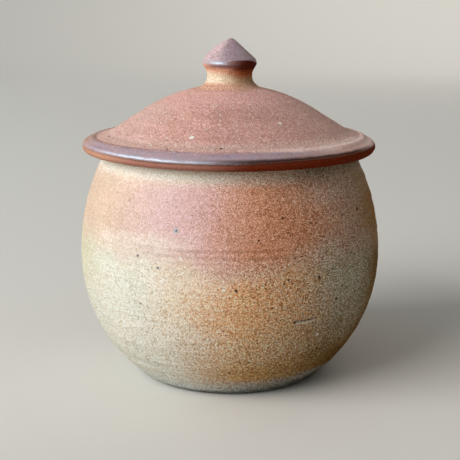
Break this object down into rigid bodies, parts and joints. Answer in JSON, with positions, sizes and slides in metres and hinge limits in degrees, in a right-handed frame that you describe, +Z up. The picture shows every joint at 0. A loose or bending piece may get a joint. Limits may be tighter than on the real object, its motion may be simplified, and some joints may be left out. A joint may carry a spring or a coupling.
{
  "type": "salt pot",
  "caption": "Round-bellied stoneware salt pot with a wide mouth, a domed lid with a flat brim and an inner flange, and a small pointed knob to lift it by.",
  "frame": {"origin": "middle of the underside, on the table", "axes": "+Z up along the axis that the pot was thrown on; +X and +Y lie in the table, and the side that faces the camera in the picture is -Y"},
  "size_m": [0.11, 0.11, 0.1223],
  "materials": {
    "pot_clay": "matt salt-fired stoneware, flashed pink, orange and grey-green",
    "lid_clay": "matt salt-fired stoneware, dusty pink dome and purple-brown satin brim",
    "knob_clay": "salt-fired stoneware, dark and glossy round the edge"
  },
  "bodies": {
    "pot": {"pot": "pot_clay"},
    "lid": {"lid": "lid_clay", "lid_knob": "knob_clay"}
  },
  "joints": [
    {"name": "lid_lift", "type": "slide", "parent": "pot", "child": "lid", "axis": [0, 0, 1], "range_m": [0, 0.08]}
  ]
}
